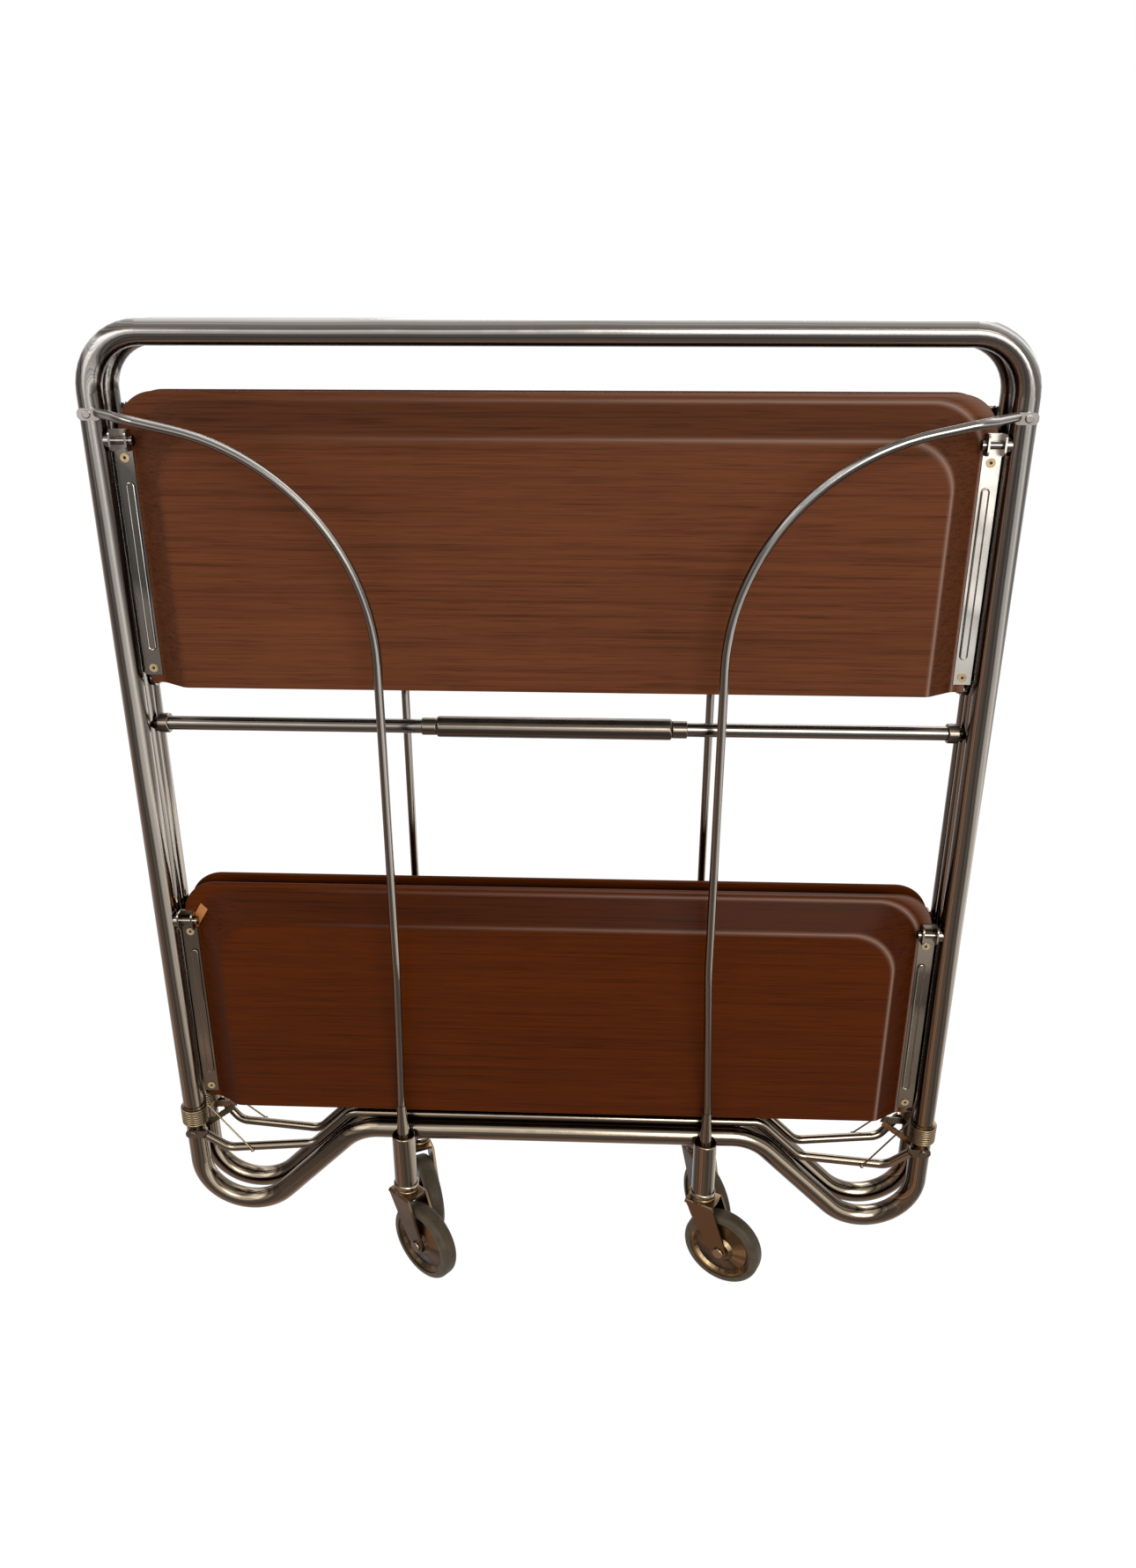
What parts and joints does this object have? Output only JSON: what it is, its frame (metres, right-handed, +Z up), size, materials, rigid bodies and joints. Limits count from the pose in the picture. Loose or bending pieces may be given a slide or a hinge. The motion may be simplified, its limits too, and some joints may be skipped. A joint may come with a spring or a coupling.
{
  "type": "folding serving cart",
  "caption": "Folding serving cart, shown folded: two bent tube loops carry halved laminate trays, a handle frame, bowed side rods and swivel casters.",
  "frame": {"origin": "on the floor under the middle of the folded cart, midway between the front and rear loops", "axes": "+X along the trays to the right, +Y to the rear, +Z up; the front faces -Y"},
  "size_m": [0.6048, 0.1173, 0.729],
  "materials": {
    "chrome_tube": "aged bright plating",
    "bright_steel": "bright plating",
    "spring_steel": "plated wire",
    "brass": "satin",
    "wood_laminate": "satin laminate with fine grain",
    "dark_plastic": "gloss",
    "grip_plastic": "satin clear over metal",
    "caster_steel": "aged plating",
    "wheel_disc": "pressed disc",
    "grey_tyre": "matte"
  },
  "bodies": {
    "front_frame": {"front_loop_upper": "chrome_tube", "front_loop_lower": "chrome_tube", "front_left_rod": "chrome_tube", "front_right_rod": "chrome_tube", "front_sockets": "chrome_tube", "front_lower_rod": "chrome_tube", "front_springs": "spring_steel", "front_blades": "spring_steel", "front_sleeves": "spring_steel", "front_rivets": "bright_steel", "front_pivot_pins": "bright_steel", "front_left_caster_stem": "bright_steel", "front_right_caster_stem": "bright_steel"},
    "rear_frame": {"rear_loop_upper": "chrome_tube", "rear_loop_lower": "chrome_tube", "rear_left_rod": "chrome_tube", "rear_right_rod": "chrome_tube", "rear_sockets": "chrome_tube", "rear_lower_rod": "chrome_tube", "rear_springs": "spring_steel", "rear_blades": "spring_steel", "rear_sleeves": "spring_steel", "rear_rivets": "bright_steel", "rear_pivot_pins": "bright_steel", "rear_left_caster_stem": "bright_steel", "rear_right_caster_stem": "bright_steel"},
    "upper_front_half": {"upper_front_tray": "wood_laminate", "upper_front_brackets": "bright_steel", "upper_front_eyelets": "brass"},
    "upper_rear_half": {"upper_rear_tray": "wood_laminate", "upper_rear_brackets": "bright_steel", "upper_rear_eyelets": "brass"},
    "lower_front_half": {"lower_front_tray": "wood_laminate", "lower_front_brackets": "bright_steel", "lower_front_eyelets": "brass"},
    "lower_rear_half": {"lower_rear_tray": "wood_laminate", "lower_rear_brackets": "bright_steel", "lower_rear_eyelets": "brass"},
    "handle_frame": {"handle_side_rods": "chrome_tube", "handle_bar": "chrome_tube", "handle_collars": "dark_plastic", "grip_sleeve": "grip_plastic", "grip_caps": "dark_plastic", "hinge_pins": "bright_steel"},
    "front_left_swivel": {"front_left_caster_fork": "caster_steel", "front_left_caster_axle": "bright_steel"},
    "front_left_wheel": {"front_left_caster_wheel": "wheel_disc", "front_left_caster_tyre": "grey_tyre"},
    "front_right_swivel": {"front_right_caster_fork": "caster_steel", "front_right_caster_axle": "bright_steel"},
    "front_right_wheel": {"front_right_caster_wheel": "wheel_disc", "front_right_caster_tyre": "grey_tyre"},
    "rear_left_swivel": {"rear_left_caster_fork": "caster_steel", "rear_left_caster_axle": "bright_steel"},
    "rear_left_wheel": {"rear_left_caster_wheel": "wheel_disc", "rear_left_caster_tyre": "grey_tyre"},
    "rear_right_swivel": {"rear_right_caster_fork": "caster_steel", "rear_right_caster_axle": "bright_steel"},
    "rear_right_wheel": {"rear_right_caster_wheel": "wheel_disc", "rear_right_caster_tyre": "grey_tyre"}
  },
  "joints": [
    {"name": "fold", "type": "hinge", "parent": "front_frame", "child": "upper_front_half", "pos_m": [0, -0.0135, 0.656], "axis": [1, 0, 0], "range_deg": [0, 90]},
    {"name": "handle_turn", "type": "hinge", "parent": "upper_front_half", "child": "handle_frame", "pos_m": [0, 0, 0.493], "axis": [1, 0, 0], "range_deg": [-90, 0]},
    {"name": "upper_rear_turn", "type": "hinge", "parent": "handle_frame", "child": "upper_rear_half", "pos_m": [0, 0, 0.493], "axis": [1, 0, 0], "range_deg": [-90, 0]},
    {"name": "rear_frame_turn", "type": "hinge", "parent": "upper_rear_half", "child": "rear_frame", "pos_m": [0, 0.0135, 0.656], "axis": [1, 0, 0], "range_deg": [0, 90]},
    {"name": "lower_front_turn", "type": "hinge", "parent": "front_frame", "child": "lower_front_half", "pos_m": [0, -0.0135, 0.307], "axis": [1, 0, 0], "range_deg": [0, 90]},
    {"name": "lower_rear_turn", "type": "hinge", "parent": "rear_frame", "child": "lower_rear_half", "pos_m": [0, 0.0135, 0.307], "axis": [1, 0, 0], "range_deg": [-90, 0]},
    {"name": "front_left_swivel", "type": "hinge", "parent": "front_frame", "child": "front_left_swivel", "pos_m": [-0.1195, -0.0299, 0.07], "axis": [0, 0, 1], "range_deg": [-150, 20]},
    {"name": "front_left_roll", "type": "hinge", "parent": "front_left_swivel", "child": "front_left_wheel", "pos_m": [-0.10418, -0.04276, 0.032], "axis": [0.6428, 0.766, 0], "continuous": true},
    {"name": "front_right_swivel", "type": "hinge", "parent": "front_frame", "child": "front_right_swivel", "pos_m": [0.1195, -0.0299, 0.07], "axis": [0, 0, 1], "range_deg": [-160, 8]},
    {"name": "front_right_roll", "type": "hinge", "parent": "front_right_swivel", "child": "front_right_wheel", "pos_m": [0.13716, -0.03929, 0.032], "axis": [0.4695, 0.8829, 0], "continuous": true},
    {"name": "rear_left_swivel", "type": "hinge", "parent": "rear_frame", "child": "rear_left_swivel", "pos_m": [-0.1195, 0.0299, 0.07], "axis": [0, 0, 1], "range_deg": [0, 230]},
    {"name": "rear_left_roll", "type": "hinge", "parent": "rear_left_swivel", "child": "rear_left_wheel", "pos_m": [-0.11105, 0.01177, 0.032], "axis": [0.9063, 0.4226, 0], "continuous": true},
    {"name": "rear_right_swivel", "type": "hinge", "parent": "rear_frame", "child": "rear_right_swivel", "pos_m": [0.1195, 0.0299, 0.07], "axis": [0, 0, 1], "range_deg": [0, 230]},
    {"name": "rear_right_roll", "type": "hinge", "parent": "rear_right_swivel", "child": "rear_right_wheel", "pos_m": [0.12795, 0.01177, 0.032], "axis": [0.9063, 0.4226, 0], "continuous": true}
  ],
  "couplings": [
    {"joint": "handle_turn", "follows": "fold", "ratio": -1},
    {"joint": "upper_rear_turn", "follows": "fold", "ratio": -1},
    {"joint": "rear_frame_turn", "follows": "fold", "ratio": 1},
    {"joint": "lower_front_turn", "follows": "fold", "ratio": 1},
    {"joint": "lower_rear_turn", "follows": "fold", "ratio": -1}
  ]
}
